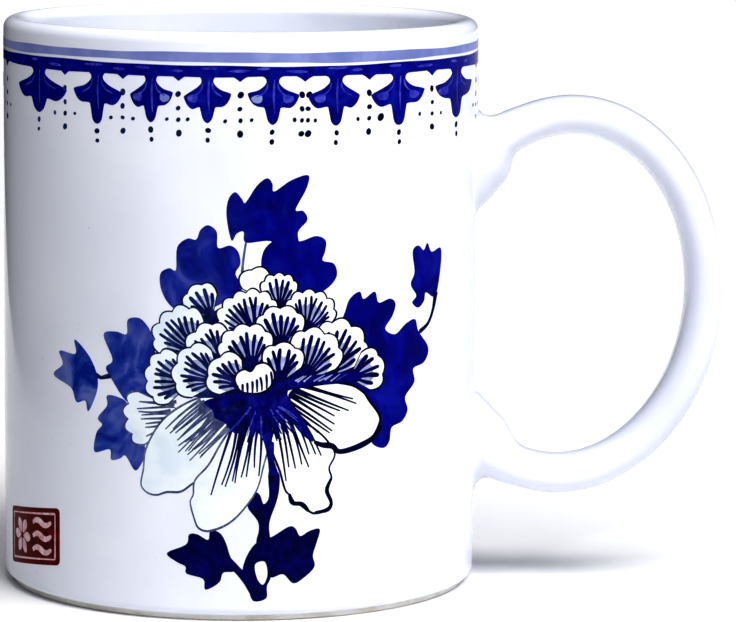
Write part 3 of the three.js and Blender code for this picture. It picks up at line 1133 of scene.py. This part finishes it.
# -------- studio
def card(name, corners, material):
    """A flat sheet with four corners."""
    mesh = bpy.data.meshes.new(name)
    mesh.from_pydata(corners, [], [(0, 1, 2, 3)])
    mesh.materials.append(material)
    return put(name, mesh)


def make_floor():
    """A plain pale floor, reaching far beyond the view."""
    material, tree, bsdf = shader("studio_floor", 0.9)
    tone = ramp(tree, noise_node(tree, 3, 2.0), [(0.3, (0.90, 0.90, 0.905)), (0.7, (0.915, 0.915, 0.92))])
    link(tree, tone, bsdf.inputs["Base Color"])
    reach = 6
    corners = [(-reach, -reach, 0), (reach, -reach, 0), (reach, reach, 0), (-reach, reach, 0)]
    floor = card("studio_floor", corners, material)


def make_world(strength):
    """A bright surround in front, above and to the right, that falls away to dark behind on the left."""
    world = bpy.data.worlds.new("studio")
    world.use_nodes = True
    tree = world.node_tree
    background = tree.nodes["Background"]
    coordinates = new_node(tree, "TexCoord")
    along = new_node(tree, "VectorMath")
    along.operation = "DOT_PRODUCT"
    along.inputs[1].default_value = (0.62, -0.5, 0.6)
    link(tree, coordinates.outputs["Generated"], along.inputs[0])
    side = number_ramp(tree, along.outputs["Value"], 0, 1, -0.7, 0.9)
    sky = ramp(tree, side, [(0.0, (0.15, 0.15, 0.19)), (0.45, (0.41, 0.43, 0.53)), (1.0, (1.0, 1.0, 1.0))])
    link(tree, sky, background.inputs["Color"])
    background.inputs["Strength"].default_value = strength
    bpy.context.scene.world = world


def make_key(energy, azimuth, elevation, spread):
    """A soft, distant key light, equally bright all over the floor."""
    light = bpy.data.lights.new("key", "SUN")
    light.energy = energy
    light.angle = math.radians(spread)
    obj = put("key", light)
    a, e = math.radians(azimuth), math.radians(elevation)
    toward = Vector((math.sin(a) * math.cos(e), -math.cos(a) * math.cos(e), math.sin(e)))
    obj.location = toward * 2
    obj.rotation_euler = toward.to_track_quat("Z", "Y").to_euler()


def make_snoot(energy, spread):
    """A narrow lamp, high at the front left, that only looks into the mug's mouth."""
    light = bpy.data.lights.new("snoot", "SPOT")
    light.energy = energy
    light.spot_size = math.radians(spread)
    light.spot_blend = 0.7
    light.shadow_soft_size = 0.06
    obj = put("snoot", light)
    mouth = AXIS + Vector((-12, INNER_R * 0.8, HEIGHT - 8)) * MM
    obj.location = mouth + Vector((-0.18, -0.42, 0.62))
    obj.rotation_euler = (obj.location - mouth).to_track_quat("Z", "Y").to_euler()


def make_flag():
    """A black card on the left, hidden from the camera, that darkens that side of the wall."""
    material, tree, bsdf = shader("flag_cloth", 0.95, 1.5, 0)
    weave = ramp(tree, noise_node(tree, 300, 3.0), [(0.3, (0.01, 0.01, 0.012)), (0.7, (0.02, 0.02, 0.022))])
    link(tree, weave, bsdf.inputs["Base Color"])
    x, front, back, height = -0.215, -0.25, 1.0, 0.25
    corners = [(x, front, 0), (x, back, 0), (x, back, height), (x, front, height)]
    flag = card("flag", [AXIS + Vector(c) for c in corners], material)
    flag.visible_camera = False


def make_camera():
    """A little above the rim, looking slightly down, and almost square to the handle's plane."""
    distance, height, aside = 0.700, 0.1439, 0.0223
    tilt, roll = math.radians(7.9), math.radians(0.47)
    data = bpy.data.cameras.new("camera")
    data.lens = 198
    data.sensor_width = 36
    data.clip_start, data.clip_end = 0.05, 30
    camera = put("camera", data)
    turn = Matrix.Rotation(math.pi / 2 - tilt, 4, "X") @ Matrix.Rotation(roll, 4, "Z")
    camera.matrix_world = Matrix.Translation(AXIS + Vector((aside, -distance, height))) @ turn
    bpy.context.scene.camera = camera


# -------- the object
make_body()
make_foot()
sections = strap_rings()
midway = len(sections) // 2
make_handle(sections)
make_fillet("upper_slip_fillet", sections[:midway:-1], "upper_slip_joint")
make_fillet("lower_slip_fillet", sections[:midway], "lower_slip_joint")
make_films("border", border())
make_films("spray", spray())
make_films("seal", seal())

make_floor()
make_world(strength=0.52)
make_key(energy=3.1, azimuth=34, elevation=57, spread=40)
make_snoot(energy=20, spread=7.5)
make_flag()
make_camera()

view = bpy.context.scene.view_settings
view.view_transform = "Standard"
view.gamma = 0.72
